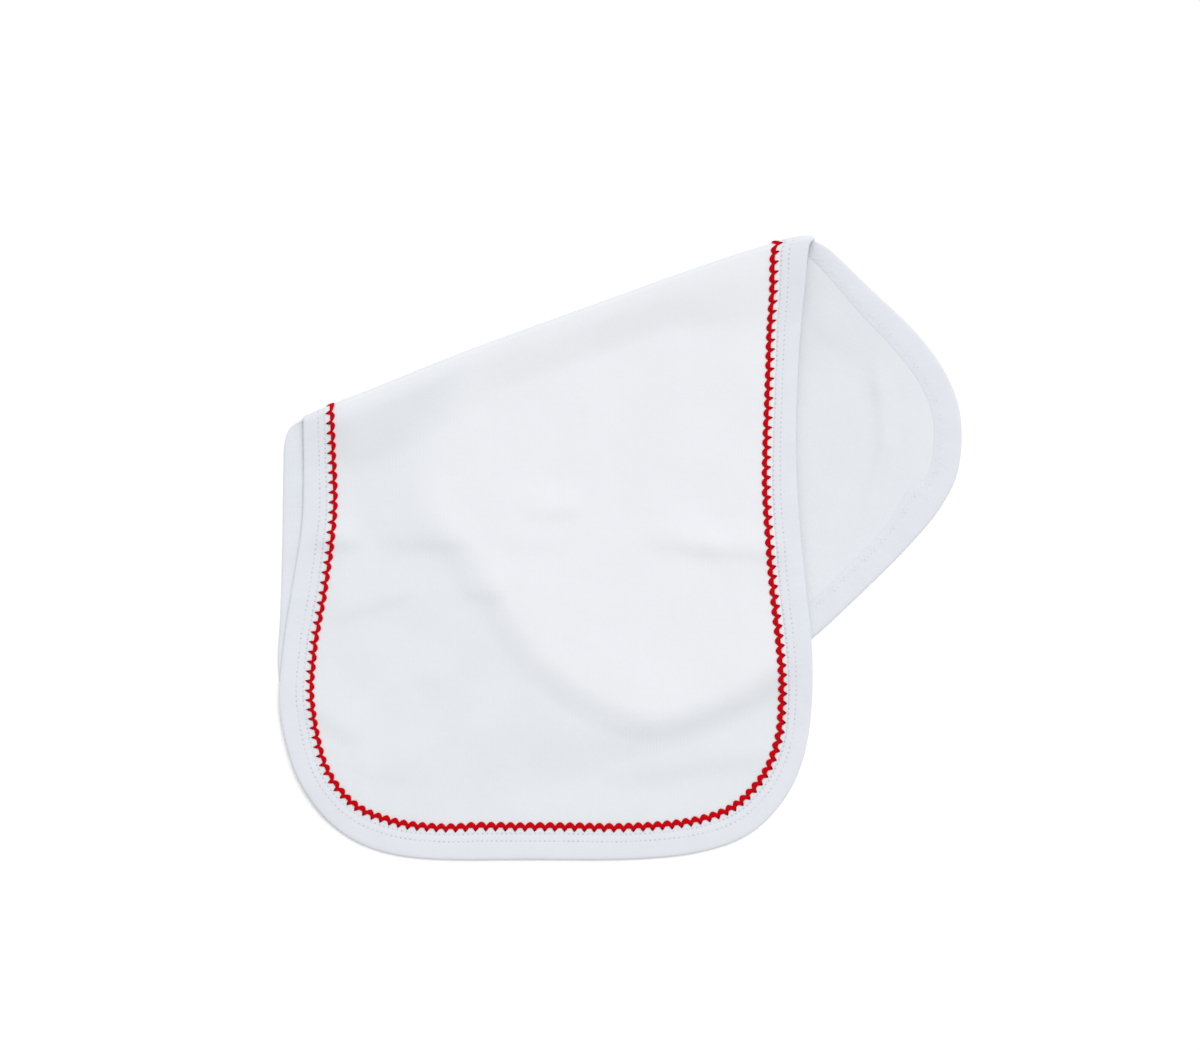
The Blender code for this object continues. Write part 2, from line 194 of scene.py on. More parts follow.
# How far in from the edge the tape was sewn: length round the front flap in millimetres, and its
# share of the full width
SEWN_WIDTH = np.array([
    (0.0, 0.83), (26.0, 0.84), (46.0, 0.91), (66.0, 0.965), (86.0, 0.97), (106.0, 0.89),
    (126.0, 0.905), (146.0, 0.965), (166.0, 0.885), (186.0, 0.85), (206.0, 0.88), (226.0, 0.97),
    (246.0, 0.955), (266.0, 0.975), (286.0, 0.99), (306.0, 0.985), (326.0, 0.98), (346.0, 0.95),
    (366.0, 0.955), (386.0, 0.94), (406.0, 0.935), (426.0, 0.92), (446.0, 0.88), (466.0, 0.85),
    (486.0, 0.89), (506.0, 0.95), (526.0, 0.985), (546.0, 0.98), (566.0, 0.95), (586.0, 0.935),
    (606.0, 0.87), (626.0, 0.83), (646.0, 0.84), (666.0, 0.905), (686.0, 0.93), (699.0, 0.98),
    (706.0, 1.02), (712.0, 1.12), (718.0, 1.04), (728.0, 1.0), (1400.0, 1.0), (1460.0, 0.86),
])

# The trim as it is sewn, in millimetres: length round the edge, how far its points lean along it,
# depth between its crowns, width of its body, and the share of the pitch that a point takes
TRIM_SHAPE = np.array([
    (0.0, -0.4, 1.5, 2.3, 0.42), (170.0, -0.4, 1.4, 2.35, 0.44), (205.0, -0.2, 1.7, 2.75, 0.6),
    (440.0, 0.0, 1.7, 2.9, 0.62), (520.0, 0.4, 1.6, 2.65, 0.56), (590.0, 0.3, 1.4, 2.5, 0.46),
    (712.0, 0.3, 1.3, 2.6, 0.44), (730.0, 0.0, 1.5, 2.6, 0.52),
])

ALONG_FOLD = np.array([math.cos(FOLD_SLOPE), math.sin(FOLD_SLOPE)])
INTO_CLOTH = np.array([math.sin(FOLD_SLOPE), -math.cos(FOLD_SLOPE)])


class ClothSizes(bpy.types.PropertyGroup):
    """Sizes of the trim and the sewing."""

    picot_pitch: FloatProperty(
        name="Picot pitch", description="From one picot of the trim to the next",
        default=4.75 * MM, min=2 * MM, unit="LENGTH")
    picot_tip: FloatProperty(
        name="Picot tip", description="From the cut edge to the points of the trim",
        default=13.4 * MM, min=5 * MM, unit="LENGTH")
    trim_top: FloatProperty(
        name="Trim top", description="From the cut edge to the crowns of the trim",
        default=18.1 * MM, min=5 * MM, unit="LENGTH")
    stitch_pitch: FloatProperty(
        name="Stitch length", description="From one needle hole to the next",
        default=2.3 * MM, min=1 * MM, unit="LENGTH")
    thread_thick: FloatProperty(
        name="Thread thickness", description="Across the sewing thread",
        default=0.34 * MM, min=0.1 * MM, unit="LENGTH")
    wale_pitch: FloatProperty(
        name="Wale pitch", description="Across one rib of the knit",
        default=0.68 * MM, min=0.2 * MM, unit="LENGTH")
    course_pitch: FloatProperty(
        name="Course pitch", description="Along one loop of the knit",
        default=0.56 * MM, min=0.2 * MM, unit="LENGTH")


class ClothColours(bpy.types.PropertyGroup):
    """Colours of the pieces."""

    knit: FloatVectorProperty(
        name="Knit", description="Colour of the panel", subtype="COLOR", size=3,
        default=(0.782, 0.797, 0.829), min=0, max=1)
    # One layer's tone on the table, also used as painted shade from the fold on the back flap and
    # round the fold's nose
    knit_single_and_shaded: FloatVectorProperty(
        name="Single knit", description="Colour of the panel where nothing lies behind it",
        subtype="COLOR", size=3, default=(0.715, 0.74, 0.769), min=0, max=1)
    binding: FloatVectorProperty(
        name="Binding", description="Colour of the binding", subtype="COLOR", size=3,
        default=(0.716, 0.741, 0.789), min=0, max=1)
    trim: FloatVectorProperty(
        name="Trim", description="Colour of the picot trim", subtype="COLOR", size=3,
        default=(0.56, 0.002, 0.006), min=0, max=1)
    # Painted shade at the points of the picots
    trim_tip_shade: FloatVectorProperty(
        name="Trim points", description="Colour of the tight ends of the picots",
        subtype="COLOR", size=3, default=(0.12, 0.0, 0.004), min=0, max=1)
    thread: FloatVectorProperty(
        name="Thread", description="Colour of the sewing thread", subtype="COLOR", size=3,
        default=(0.74, 0.76, 0.8), min=0, max=1)


class StageSettings(bpy.types.PropertyGroup):
    """Light, floor and camera."""

    sky: FloatProperty(
        name="Sky light", description="Even light from all round", default=0.638, min=0)
    lamp: FloatProperty(
        name="Lamp", description="Soft light from beyond the fold", default=1.68, min=0)
    lamp_height: FloatProperty(
        name="Lamp height", description="How high the lamp stands over the table",
        default=math.radians(58), min=0, max=math.radians(90), subtype="ANGLE")
    lamp_turn: FloatProperty(
        name="Lamp turn", description="How far the lamp stands from beyond the fold to the right",
        default=math.radians(20), min=-math.pi, max=math.pi, subtype="ANGLE")
    lens: FloatProperty(
        name="Lens", description="Focal length in millimetres", default=85.0, min=20)
    view_wide: FloatProperty(
        name="View width", description="Width of the picture at the cloth",
        default=0.576, min=0.1, unit="LENGTH")
    floor: FloatVectorProperty(
        name="Floor", description="Colour of the floor", subtype="COLOR", size=3,
        default=(0.99, 0.99, 0.99), min=0, max=1)


class Wire:
    """One socket of a material. Sums with it add Math nodes, with a plain number on either side."""

    def __init__(self, tree, socket=None):
        self.tree = tree
        self.socket = socket

    def node(self, kind, output=0, settings=None, values=None):
        """A node of any kind: settings are its fields, values its inputs as numbers or wires."""
        made = self.tree.nodes.new(kind)
        for field, value in (settings or {}).items():
            setattr(made, field, value)
        for place, value in (values or {}).items():
            if isinstance(value, Wire):
                self.tree.links.new(value.socket, made.inputs[place])
            else:
                made.inputs[place].default_value = value
        return Wire(self.tree, made.outputs[output])

    def other(self, output):
        """Another output of the node that this wire comes from."""
        return Wire(self.tree, self.socket.node.outputs[output])

    def into(self, shader, place):
        """Joins this wire to an input of the shader."""
        self.tree.links.new(self.socket, shader.inputs[place])

    def sum(self, kind, *terms, clamp=False):
        """A Math node on this wire and the terms."""
        values = dict(enumerate([self, *terms]))
        settings = {"operation": kind, "use_clamp": clamp}
        return self.node("ShaderNodeMath", settings=settings, values=values)

    def turned(self, kind, first):
        """A Math node on the first term and this wire."""
        settings = {"operation": kind}
        return self.node("ShaderNodeMath", settings=settings, values={0: first, 1: self})

    def __add__(self, other):
        return self.sum("ADD", other)

    def __radd__(self, other):
        return self.turned("ADD", other)

    def __sub__(self, other):
        return self.sum("SUBTRACT", other)

    def __rsub__(self, other):
        return self.turned("SUBTRACT", other)

    def __mul__(self, other):
        return self.sum("MULTIPLY", other)

    def __rmul__(self, other):
        return self.turned("MULTIPLY", other)

    def __truediv__(self, other):
        return self.sum("DIVIDE", other)

    def __rtruediv__(self, other):
        return self.turned("DIVIDE", other)

    def __pow__(self, other):
        return self.sum("POWER", other)

    def __rpow__(self, other):
        return self.turned("POWER", other)

    def __neg__(self):
        return self.turned("SUBTRACT", 0.0)

    def __abs__(self):
        return self.sum("ABSOLUTE")

    def soft_step(self, low, high):
        """0 where the wire is low, 1 where it is high, and an S between them."""
        settings = {"interpolation_type": "SMOOTHSTEP"}
        values = {"Value": self, "From Min": low, "From Max": high}
        return self.node("ShaderNodeMapRange", settings=settings, values=values)

    def mix(self, first, second):
        """The first colour where the wire is 0 and the second where it is 1."""
        settings = {"data_type": "RGBA"}
        return self.node("ShaderNodeMix", output=2, settings=settings,
                         values={0: self, 6: first, 7: second})

    def noise(self, scale, detail=2.0, rough=0.5):
        """Cloudy noise from 0 to 1, read at this vector."""
        settings = {"noise_dimensions": "2D"}
        values = {"Vector": self, "Scale": scale, "Detail": detail, "Roughness": rough}
        return self.node("ShaderNodeTexNoise", settings=settings, values=values)


def smooth(low, high, value):
    """0 up to low, 1 from high, and a soft S between them."""
    t = np.clip((value - low) / (high - low), 0, 1)
    return t * t * (3 - 2 * t)


def ramp(t, ends=0.2):
    """0 up to 0, 1 from 1, and a straight slope between them that starts and stops over ends."""
    squares = [np.maximum(t - start, 0) ** 2 for start in (0, ends, 1 - ends, 1)]
    return (squares[0] - squares[1] - squares[2] + squares[3]) / (2 * ends * (1 - ends))


def droop(along):
    """How far the fold bows: its table read by length, and evened over a short stretch."""
    offsets = np.linspace(-1, 1, 9) * FOLD_LINE_SOFT
    table = FOLD_LINE * MM
    read = np.interp(np.asarray(along)[..., None] + offsets, table[:, 0], table[:, 1])
    return read.mean(axis=-1)


def to_fold(plan):
    """Plan points as (distance along the fold, distance in from it)."""
    out = np.stack([(plan - FOLD_MIDDLE) @ ALONG_FOLD, (plan - FOLD_MIDDLE) @ INTO_CLOTH], -1)
    out[..., 1] -= droop(out[..., 0])
    return out


def to_plan(fold):
    """The inverse of to_fold."""
    deep = fold[..., 1] + droop(fold[..., 0])
    return FOLD_MIDDLE + fold[..., :1] * ALONG_FOLD + deep[..., None] * INTO_CLOTH


def curve_through(table, steps=24):
    """A smooth open curve through the rows of a table: Catmull-Rom spans of equal steps."""
    points = table * MM
    ends = np.vstack([2 * points[0] - points[1], points, 2 * points[-1] - points[-2]])
    a, b, c, d = (ends[k:len(ends) - 3 + k, None] for k in range(4))
    t = (np.arange(steps) / steps)[None, :, None]
    spans = (b + t * (c - a) / 2 + t**2 * (2 * a - 5 * b + 4 * c - d) / 2
             + t**3 * (3 * b - a - 3 * c + d) / 2)
    return np.vstack([spans.reshape(-1, 2), points[-1:]])


def distance_to(points, line, closed):
    """Distance from plan points to a line of points.

    It is the least length of point minus foot over all stretches. It counts as positive inside
    the outline that the line makes once closed, by the parity of the stretches crossed.
    """
    a = line[:-1]
    span = line[1:] - a
    out = np.empty(len(points))
    for part in np.array_split(np.arange(len(points)), max(1, len(points) // 8000)):
        some = points[part]
        rel = some[:, None] - a[None]
        t = np.clip((rel * span).sum(-1) / (span**2).sum(-1), 0, 1)
        near = np.linalg.norm(rel - t[..., None] * span, axis=-1).min(axis=1)
        if closed:
            ring = np.vstack([line, line[:1]])
            x0, y0 = ring[:-1].T
            x1, y1 = ring[1:].T
            px, py = some[:, :1], some[:, 1:]
            crosses = (y0 > py) != (y1 > py)
            reach = x0 + (py - y0) / np.where(y1 == y0, 1, y1 - y0) * (x1 - x0)
            inside = (crosses & (px < reach)).sum(axis=1) % 2 == 1
            near = np.where(inside, near, -near)
        out[part] = near
    return out


def crease_height(plan, creases):
    """Sum of soft creases: high * exp(-(away / wide)^2) across each line, faded in at both ends.

    The side to the left of the way along the line is gentler, 2.5 times as wide.
    """
    x0, y0, x1, y1, high, wide = creases.T * MM
    start = np.stack([x0, y0], -1)
    way = np.stack([x1 - x0, y1 - y0], -1)
    long = np.linalg.norm(way, axis=1)
    way = way / long[:, None]
    rel = plan[:, None] - start
    along = (rel * way).sum(-1) / long
    away = rel[..., 0] * way[:, 1] - rel[..., 1] * way[:, 0]
    ends = smooth(-0.12, 0.28, along) * smooth(-0.12, 0.28, 1 - along)
    wide = wide * np.where(away < 0, 2.5, 1.0)
    return (high * ends * np.exp(-((away / wide) ** 2))).sum(axis=1)


def shown_edge(plan):
    """Distance inside the lower layer's edge as it shows through, over the edge's softness."""
    inside = distance_to(plan, curve_through(SHOWN_EDGE, 6), closed=True)
    soft = STEP_SOFT[0] + (STEP_SOFT[1] - STEP_SOFT[0]) * smooth(*STEP_RISE, plan[:, 1])
    return inside / soft


def lap_height(plan):
    """Height that the lower layer and its bound edge need under the upper layer.

    It is a rise inside the lower outline with a fall outside it, longer on the left, and a further
    step at the edge that shows through. Both are gentler under the binding at the right.
    """
    inside = distance_to(plan, curve_through(BACK_EDGE)[::4], closed=True)
    right = smooth(*LAP_FALL_SPAN, plan[:, 0])
    ease = smooth(*LAP_EASE_SPAN, plan[:, 0])
    fall = (LAP_FALL_LEFT + (LAP_FALL_RIGHT - LAP_FALL_LEFT) * right) * (1 + ease)
    up = smooth(0, 1, (inside + LAP_REACH + fall) / fall)
    shown = shown_edge(plan)
    sag = smooth(*LAP_SAG_SPAN, shown * STEP_SOFT[0])
    step = STEP_HIGH * (1 - 0.5 * ease) * smooth(-1.0, 0.15, shown)
    return LAP_RISE * up + step - LAP_SAG * sag


def backing_and_shade_share(fold, flap):
    """How much is behind a point of the cloth, which sets how light it looks, plus painted shade.

    It is 1 where the front flap lies over the lower layer and along the fold, and the table's share
    elsewhere. Round the fold's nose the table's share is painted shade. On the back flap it is the
    table's share, falling to 0 in a band off the fold as painted shade from the fold.
    """
    deep = fold[..., 1]
    if flap == "back":
        fold_shade = smooth(*FOLD_SHADE_START, deep) * (1 - smooth(*FOLD_SHADE_END, deep))
        return TABLE_SHARE * (1 - fold_shade)
    inside = smooth(-1.0, 0.3, shown_edge(to_plan(fold)))
    over = np.maximum(inside, 1 - smooth(4 * MM, 10 * MM, deep)) * smooth(0, 3.5 * MM, deep)
    return TABLE_SHARE + (1 - TABLE_SHARE) * over


def middle_points(fold, inset, turn, flap):
    """Points of the middle of the sheet.

    low is the height of a layer on the table, lifted where the binding runs under it. high is low
    plus the lap, drawn up to the fold's crest near the fold. turn is the sine of the angle round
    the bend, and the two flaps meet where it is 0.
    """
    plan = to_plan(fold)
    deep = fold[:, 1]
    low = HALF_PANEL + RAISE * (1 - smooth(TRIM_ZONE, EDGE_FADE, inset))
    high = low + lap_height(plan)
    left = smooth(-30 * MM, -90 * MM, fold[:, 0])
    end = smooth(-110 * MM, -128 * MM, fold[:, 0])
    right = smooth(45 * MM, 105 * MM, fold[:, 0])
    settle = FOLD_SETTLE + FOLD_SETTLE_LEFT * left + FOLD_SETTLE_RIGHT * right - FOLD_SETTLE_END * end
    standing = 1 - ramp((deep - FOLD_CREST) / (settle - FOLD_CREST), 0.25)
    rise = FOLD_RISE + (FOLD_RISE_LEFT - FOLD_RISE) * smooth(-105 * MM, -132 * MM, fold[:, 0])
    high = high + (low + rise - high) * standing
    inner = smooth(TRIM_ZONE, TRIM_ZONE + 18 * MM, inset)
    if flap == "front":
        settled = high + crease_height(plan, FRONT_CREASES) * smooth(3 * MM, 15 * MM, inset)
        level = (low + high) / 2 + (high - low) / 2 * turn
    else:
        settled = low + crease_height(plan, BACK_CREASES) * inner
        level = (low + high) / 2 - (high - low) / 2 * turn
    return np.column_stack([plan, np.where(turn < 1, level, settled)])


def fold_levels():
    """Distances in from the fold of the first rows: round the bend, then across the soft part."""
    turn = np.arange(1, BEND_STEPS + 1) * math.pi / 2 / BEND_STEPS
    return np.concatenate([FOLD_NOSE * (1 - np.cos(turn)), SOFT_ROWS])


def edge_stations(curve, count):
    """Stations along a flap's edge in fold coordinates, and the direction in from each.

    The first and last rows lie at the fold levels, the others are equally spaced. The inward
    direction runs along the fold near it and turns square to the edge further off.
    """
    levels = fold_levels()
    length = np.concatenate([[0], np.cumsum(np.linalg.norm(np.diff(curve, axis=0), axis=1))])
    half = len(curve) // 4
    first = np.interp(levels, curve[:half, 1], length[:half])
    last = np.interp(levels, curve[:-half:-1, 1], length[:-half:-1])[::-1]
    middle = np.linspace(first[-1], last[0], count + 2)[1:-1]
    at = np.concatenate([[0], first, middle, last, [length[-1]]])
    place = np.stack([np.interp(at, length, curve[:, k]) for k in (0, 1)], -1)
    ahead = np.stack([np.interp(at + 2 * MM, length, curve[:, k]) for k in (0, 1)], -1)
    behind = np.stack([np.interp(at - 2 * MM, length, curve[:, k]) for k in (0, 1)], -1)
    tangent = ahead - behind
    tangent /= np.linalg.norm(tangent, axis=1)[:, None]
    normal = np.stack([-tangent[:, 1], tangent[:, 0]], -1)
    if ((curve.mean(axis=0) - place) * normal).sum() < 0:
        normal = -normal
    index = np.arange(len(at))
    from_end = np.minimum(index, len(at) - 1 - index)
    near = 1 - smooth(*TURN_IN_SPAN, np.minimum(at, length[-1] - at))
    side = np.where(index < len(at) / 2, 1.0, -1.0) * np.sign(curve[-1, 0] - curve[0, 0])
    row_way = np.stack([side / math.cos(FOLD_SLOPE), np.zeros(len(at))], -1)
    inward = (1 - near[:, None]) * normal + near[:, None] * row_way
    return place, inward, from_end


def bend_turn(row):
    """Sine of the angle round the bend at each row from the fold, 1 beyond the bend."""
    return np.where(row < BEND_STEPS, np.sin(row * math.pi / 2 / BEND_STEPS), 1.0)


def flap_grid(curve, count, centre, flap):
    """A flap's rings of points: its edge band, its inside, and the line down its middle.

    A ring's point is station + inset * inward over the band, and from there a straight share of
    the way to the middle line. flat is the same point on the cloth before folding: the plan, and
    for the back flap the plan mirrored in the fold.
    """
    place, inward, from_end = edge_stations(curve, count)
    levels = np.concatenate([[0], fold_levels()])
    target = to_fold(np.array(centre))
    near = np.stack([levels / target[1] * target[0], levels], -1)
    t = (np.arange(1, CENTRE_ROWS + 1) / CENTRE_ROWS)[:, None]
    spine = np.vstack([near, near[-1] + t * (target - near[-1])])
    to_spine = np.minimum(from_end, len(spine) - 1)
    band = place + BAND_INSETS[:, None, None] * inward
    inner = band[-1]
    reach = spine[to_spine] - inner
    inside = inner + SHARES[:, None, None] * reach
    grid = np.concatenate([band, inside])
    band_inset = np.repeat(BAND_INSETS[:, None], len(place), axis=1)
    inside_inset = TRIM_ZONE + SHARES[:, None] * np.linalg.norm(reach, axis=1)
    inset = np.concatenate([band_inset, inside_inset])
    turn = np.broadcast_to(bend_turn(from_end), inset.shape)
    points = middle_points(grid.reshape(-1, 2), inset.ravel(), turn.ravel(), flap)
    middle_inset = np.interp(np.arange(len(spine)), from_end[: len(from_end) // 2],
                             inset[-1, : len(from_end) // 2])
    middle = middle_points(spine, middle_inset, bend_turn(np.arange(len(spine))), flap)
    mirror = np.array([1.0, 1.0 if flap == "front" else -1.0])
    return {
        "points": points.reshape(*inset.shape, 3),
        "backing_and_shade": backing_and_shade_share(grid.reshape(-1, 2), flap).reshape(inset.shape),
        "middle_backing_and_shade": backing_and_shade_share(spine, flap),
        "flat": to_plan(grid * mirror),
        "middle": middle,
        "middle_flat": to_plan(spine * mirror),
        "to_middle": to_spine,
    }


@functools.lru_cache(maxsize=1)
def cloth_layout():
    """Both flaps joined round the edge: rings of points, their flat places and their normals.

    The normal is the way along the edge crossed with the way in, so it points out of the right
    side of the cloth: up on the front flap and down on the back one.
    """
    curves = [to_fold(curve_through(table)) for table in (FRONT_EDGE, BACK_EDGE)]
    for curve in curves:
        curve[[0, -1], 1] = 0.0
    curves[1][0] = curves[0][-1]
    curves[1][-1] = curves[0][0]
    front = flap_grid(curves[0], FRONT_STATIONS, FRONT_CENTRE, "front")
    back = flap_grid(curves[1], BACK_STATIONS, BACK_CENTRE, "back")
    points = np.concatenate([front["points"], back["points"][:, 1:-1]], axis=1)
    flat = np.concatenate([front["flat"], back["flat"][:, 1:-1]], axis=1)
    backing_and_shade = np.concatenate([front["backing_and_shade"], back["backing_and_shade"][:, 1:-1]], axis=1)
    shift = len(front["middle"]) - 1
    back_row = np.where(back["to_middle"] == 0, 0, back["to_middle"] + shift)
    band = points[: len(BAND_INSETS)]
    along = np.roll(band, -1, axis=1) - np.roll(band, 1, axis=1)
    normal = np.cross(along, np.gradient(band, BAND_INSETS, axis=0))
    normal /= np.linalg.norm(normal, axis=-1)[..., None]
    edge_steps = np.linalg.norm(np.roll(band[0], -1, axis=0) - band[0], axis=1)
    edge_length = np.concatenate([[0], np.cumsum(edge_steps)]) / MM
    widths = SEWN_WIDTH[:, 0] + (SEWN_WIDTH[:, 0] > 1300) * (edge_length[-1] - SEWN_WIDTH[-1, 0])
    steps = np.linalg.norm(np.roll(band[6], -1, axis=0) - band[6], axis=1)
    return {
        "points": points,
        "flat": flat,
        "backing_and_shade": backing_and_shade,
        "middle": np.vstack([front["middle"], back["middle"][1:]]),
        "middle_backing_and_shade": np.concatenate([front["middle_backing_and_shade"], back["middle_backing_and_shade"][1:]]),
        "middle_flat": np.vstack([front["middle_flat"], back["middle_flat"][1:]]),
        "to_middle": np.concatenate([front["to_middle"], back_row[1:-1]]),
        "normal": normal,
        "length": np.concatenate([[0], np.cumsum(steps)]),
        "sewn": np.interp(edge_length, widths, SEWN_WIDTH[:, 1]),
    }


def on_band(length, inset, off):
    """Points beside the edge band: a length along the edge, an inset from it and a height off.

    Each is the band's grid read between its four nearest points, plus off times the normal. The
    inset is first changed with the tape's share of its full width there, and what is sewn beyond
    the tape moves with it. What would reach below the table is pressed flat on it.
    """
    layout = cloth_layout()
    total = layout["length"]
    share = np.interp(length % total[-1], total, layout["sewn"])
    inset = inset + (share - 1) * np.minimum(inset, BINDING_WIDE)
    station = np.interp(length % total[-1], total, np.arange(len(total)))
    count = len(total) - 1
    i = np.floor(station).astype(int) % count
    part = (station - np.floor(station))[..., None]
    ring = np.interp(inset, BAND_INSETS, np.arange(len(BAND_INSETS)))
    k = np.minimum(ring.astype(int), len(BAND_INSETS) - 2)
    share = (ring - k)[..., None]

    def read(field):
        ahead = (i + 1) % count
        outer = field[k, i] * (1 - part) + field[k, ahead] * part
        inner = field[k + 1, i] * (1 - part) + field[k + 1, ahead] * part
        return outer * (1 - share) + inner * share

    points = read(layout["points"]) + np.asarray(off)[..., None] * read(layout["normal"])
    points[..., 2] = np.maximum(points[..., 2], TABLE_GAP)
    return points


def grid_faces(rows, columns, close_rows, close_columns):
    """Quads of a grid of points stored row by row. A closed way joins its last line to its first."""
    r = np.arange(rows if close_rows else rows - 1)[:, None]
    c = np.arange(columns if close_columns else columns - 1)[None]
    r2 = (r + 1) % rows
    c2 = (c + 1) % columns
    quads = [r * columns + c, r2 * columns + c, r2 * columns + c2, r * columns + c2]
    return np.stack(quads, -1).reshape(-1, 4)


def new_piece(name, points, faces, flat, material, around=0.0):
    """A mesh piece with a UV map. A face across the map's join reads on past its end, around."""
    mesh = bpy.data.meshes.new(name)
    mesh.from_pydata(points.tolist(), [], faces)
    mesh.materials.append(material)
    mesh.shade_smooth()
    corner = np.empty(len(mesh.loops), dtype=int)
    mesh.loops.foreach_get("vertex_index", corner)
    pairs = flat[corner]
    if around:
        start = np.empty(len(mesh.polygons), dtype=int)
        total = np.empty(len(mesh.polygons), dtype=int)
        mesh.polygons.foreach_get("loop_start", start)
        mesh.polygons.foreach_get("loop_total", total)
        most = np.repeat(np.maximum.reduceat(pairs[:, 0], start), total)
        pairs[:, 0] += np.where(most - pairs[:, 0] > around / 2, around, 0)
    layer = mesh.uv_layers.new(name="flat")
    layer.data.foreach_set("uv", pairs.astype(np.float32).ravel())
    piece = bpy.data.objects.new(name, mesh)
    bpy.context.scene.collection.objects.link(piece)
    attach(piece, "root")
    return piece


def give_thickness(piece, thick):
    """Solidify, half to each side."""
    solid = piece.modifiers.new("Thickness", "SOLIDIFY")
    solid.thickness = thick
    solid.offset = 0
    solid.use_even_offset = False
    solid.use_rim = True


def new_material(name, color, rough, sheen, specular):
    """A cloth material with its even values on the shader, and a wire to start from."""
    material = bpy.data.materials.new(name)
    material.use_nodes = True
    shader = material.node_tree.nodes["Principled BSDF"]
    shader.inputs["Base Color"].default_value = (*color, 1)
    shader.inputs["Roughness"].default_value = rough
    shader.inputs["Sheen Weight"].default_value = sheen
    shader.inputs["Sheen Roughness"].default_value = 0.5
    shader.inputs["Specular IOR Level"].default_value = specular
    material.diffuse_color = (*color, 1)
    return material, shader, Wire(material.node_tree)


def shaded(color, share):
    """A colour times a share, for the mix of a finish."""
    return (*[min(1.0, float(c) * share) for c in color], 1)


def flat_millimetres(start):
    """The piece's own map in millimetres, with its two parts."""
    flat = start.node("ShaderNodeUVMap", settings={"uv_map": "flat"})
    scaled = start.node("ShaderNodeVectorMath", settings={"operation": "SCALE"},
                        values={0: flat, "Scale": 1000.0})
    across = start.node("ShaderNodeSeparateXYZ", values={0: scaled})
    return scaled, across, across.other("Y")


def knit_loops(across, along, sizes):
    """Height of an interlock knit: |cos| ribs of one wale, with loops that rise in a V along them."""
    wale = (across / (sizes.wale_pitch / MM)).sum("WRAP", 0.5, -0.5)
    rib = (wale * math.pi).sum("COSINE")
    loops = ((along / (sizes.course_pitch / MM) + abs(wale)) * (2 * math.pi)).sum("SINE")
    return rib * (loops * 0.22 + 0.78)


def panel_material(sizes, colours):
    """White cotton knit: loops, a soft hand with small bumps, and slight clouds of shade.

    Its colour has painted shade between the ribs of the knit and painted shade from the fold.
    """
    material, shader, start = new_material("white_cotton_knit", colours.knit, 0.92, 0.12, 0.15)
    flat, across, along = flat_millimetres(start)
    loops = knit_loops(across, along, sizes)
    clouds = flat.noise(0.035, 3.0)
    hand = flat.noise(0.16, 3.0)
    fuzz = flat.noise(1.7, 2.0)
    # The panel's tone by the layers behind it, with painted shade from the fold and round its nose
    backing_and_shade = start.node("ShaderNodeAttribute", output="Fac",
                         settings={"attribute_name": "backing_and_shade"})
    base = backing_and_shade.mix(shaded(colours.knit_single_and_shaded, 1.0), shaded(colours.knit, 1.0))
    # Painted shade between the ribs of the knit, and slight clouds of shade
    shade = clouds.soft_step(0.3, 0.7) * 0.6 + loops.soft_step(0.2, 1.0) * 0.4
    rib_and_cloud_shade = shade.mix((0.985, 0.985, 0.985, 1), (1.01, 1.01, 1.01, 1))
    tone = start.node("ShaderNodeMix", output=2,
                      settings={"data_type": "RGBA", "blend_type": "MULTIPLY"},
                      values={0: 1.0, 6: base, 7: rib_and_cloud_shade})
    tone.into(shader, "Base Color")
    (fuzz * 0.08 + 0.86).into(shader, "Roughness")
    height = loops * 0.05 + hand * 0.1 + fuzz * 0.03
    bump = start.node("ShaderNodeBump", values={"Strength": 1.0, "Distance": MM, "Height": height})
    bump.into(shader, "Normal")
    return material


def hole_dots(along, inset, rows, pitch, wide):
    """1 at each needle hole and 0 away from it: a round dot at every pitch along every row.

    It sets the dent and the painted shade of each hole.
    """
    step = (along / pitch).sum("WRAP", 0.5, -0.5) * pitch
    hole_shade = None
    for row in rows:
        away = (step * step + (inset - row) ** 2.0).sum("SQRT")
        dot = 1.0 - away.soft_step(0.0, wide)
        hole_shade = dot if hole_shade is None else hole_shade.sum("MAXIMUM", dot)
    return hole_shade


def binding_material(sizes, colours, pitch):
    """White knit tape: loops across it, small puckers along it, and the needle holes.

    Its colour has painted shade between the ribs of the knit and in each needle hole.
    """
    material, shader, start = new_material("white_knit_tape", colours.binding, 0.9, 0.1, 0.15)
    flat, along, inset = flat_millimetres(start)
    loops = knit_loops(inset, along, sizes)
    stretched = start.node("ShaderNodeVectorMath", settings={"operation": "MULTIPLY"},
                           values={0: flat, 1: (1.0, 0.28, 1.0)})
    pucker = stretched.noise(0.42, 2.0)
    clouds = flat.noise(0.06, 2.0)
    patches = flat.noise(0.11, 2.0).soft_step(0.38, 0.62) * 0.6 + 0.4
    hole_shade = patches * hole_dots(along, inset, [row / MM for row in NEEDLE_ROWS], pitch / MM, 0.62)
    # Painted shade between the ribs of the knit, and slight clouds of shade
    shade = clouds.soft_step(0.3, 0.7) * 0.5 + loops.soft_step(0.2, 1.0) * 0.5
    tone = shade.mix(shaded(colours.binding, 0.978), shaded(colours.binding, 1.012))
    # Painted shade in the needle holes: the tape is darkened to 0.56 of its colour at each hole
    hole_shaded = hole_shade.mix(tone, shaded(colours.binding, 0.56))
    hole_shaded.into(shader, "Base Color")
    height = loops * 0.045 + pucker * 0.12 - hole_shade * 0.12
    bump = start.node("ShaderNodeBump", values={"Strength": 1.0, "Distance": MM, "Height": height})
    bump.into(shader, "Normal")
    return material


